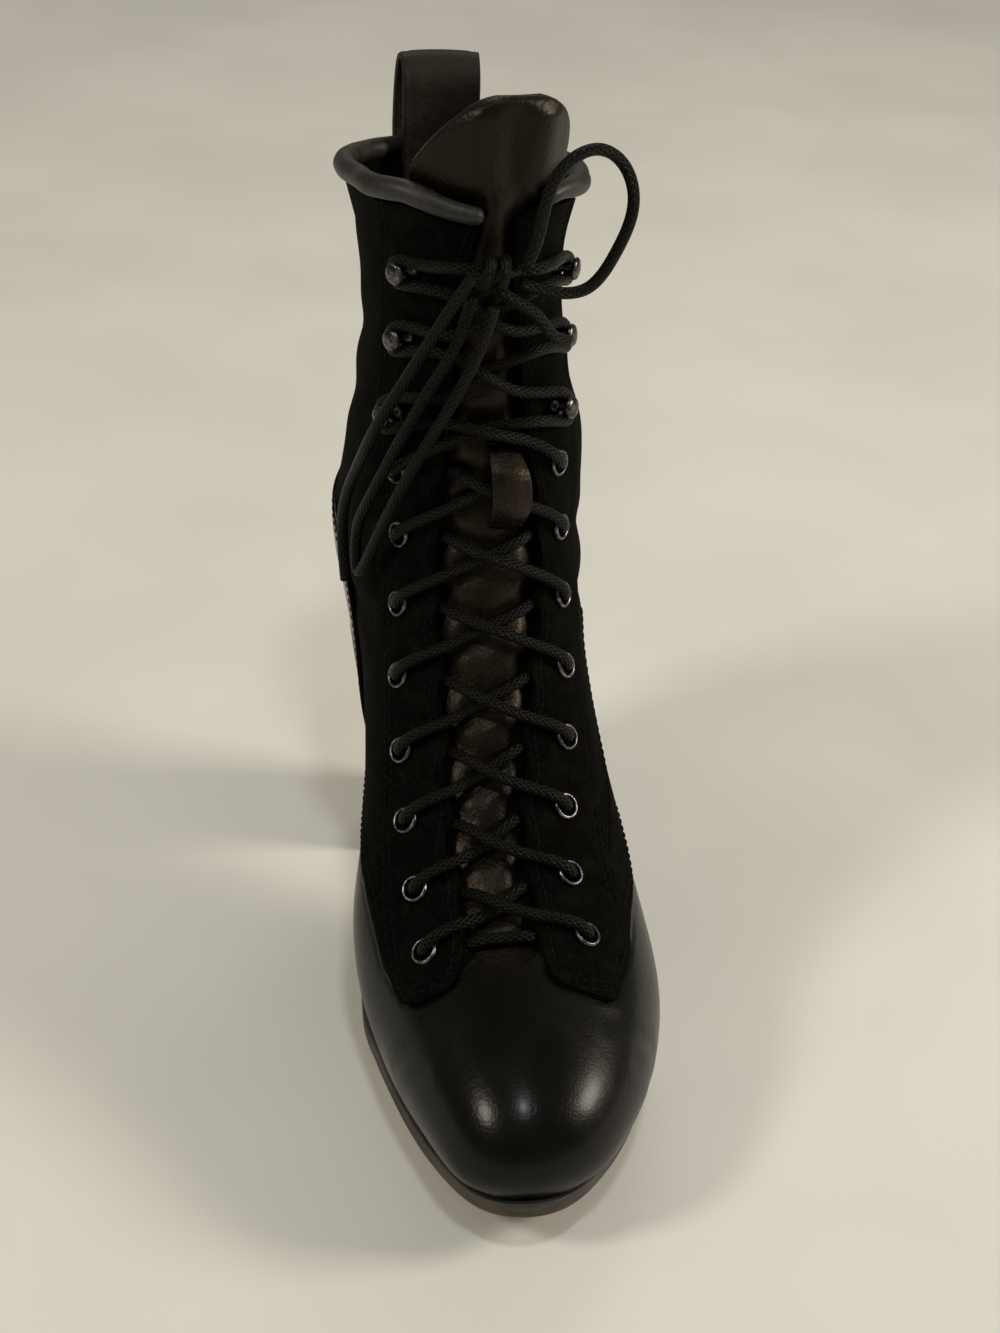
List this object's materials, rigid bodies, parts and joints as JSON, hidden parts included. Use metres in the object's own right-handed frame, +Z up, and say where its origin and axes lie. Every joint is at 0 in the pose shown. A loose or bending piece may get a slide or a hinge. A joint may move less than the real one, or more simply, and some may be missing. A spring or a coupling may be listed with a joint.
{
  "type": "heeled lace-up boot",
  "caption": "Black heeled ankle boot for the left foot, with a smooth leather toe, suede quarters, eyelets, speed hooks and a tied round lace.",
  "frame": {"origin": "centre of the boot's bounding box, loose lace left out, at floor level", "axes": "+Z up, toe towards -Y, the inner side of the foot towards -X"},
  "size_m": [0.0891, 0.2422, 0.2773],
  "materials": {
    "suede_and_leather": "smooth leather vamp with suede quarters",
    "suede": "suede",
    "leather": "satin",
    "pebbled_leather": "pebbled",
    "sole_edge": "satin",
    "insole": "matte",
    "heel": "satin",
    "rubber": "matte",
    "metal": "gunmetal",
    "lace": "waxed braid"
  },
  "bodies": {
    "root": {"upper": "suede_and_leather", "eyestay_inner": "suede", "eyestay_outer": "suede", "counter": "leather", "collar_binding": "leather", "tongue_keeper": "leather", "pull_loop": "leather", "tongue": "pebbled_leather", "sole": "sole_edge", "insole": "insole", "heel": "heel", "heel_top_lift": "rubber", "eyelet_inner_1": "metal", "eyelet_inner_2": "metal", "eyelet_inner_3": "metal", "eyelet_inner_4": "metal", "eyelet_inner_5": "metal", "eyelet_inner_6": "metal", "eyelet_inner_7": "metal", "eyelet_inner_8": "metal", "hook_inner_1": "metal", "hook_inner_2": "metal", "hook_inner_3": "metal", "eyelet_outer_1": "metal", "eyelet_outer_2": "metal", "eyelet_outer_3": "metal", "eyelet_outer_4": "metal", "eyelet_outer_5": "metal", "eyelet_outer_6": "metal", "eyelet_outer_7": "metal", "eyelet_outer_8": "metal", "hook_outer_1": "metal", "hook_outer_2": "metal", "hook_outer_3": "metal", "lace_cross_1": "lace", "lace_cross_2": "lace", "lace_cross_3": "lace", "lace_cross_4": "lace", "lace_cross_5": "lace", "lace_cross_6": "lace", "lace_cross_7": "lace", "lace_bar": "lace", "lace_hook_cross_1": "lace", "lace_hook_cross_2": "lace", "lace_hook_cross_3": "lace", "lace_top_inner": "lace", "lace_top_outer": "lace", "lace_knot": "lace", "lace_loop_right": "lace", "lace_loop_hanging": "lace", "lace_end_left": "lace", "lace_end_right": "lace"}
  },
  "joints": []
}
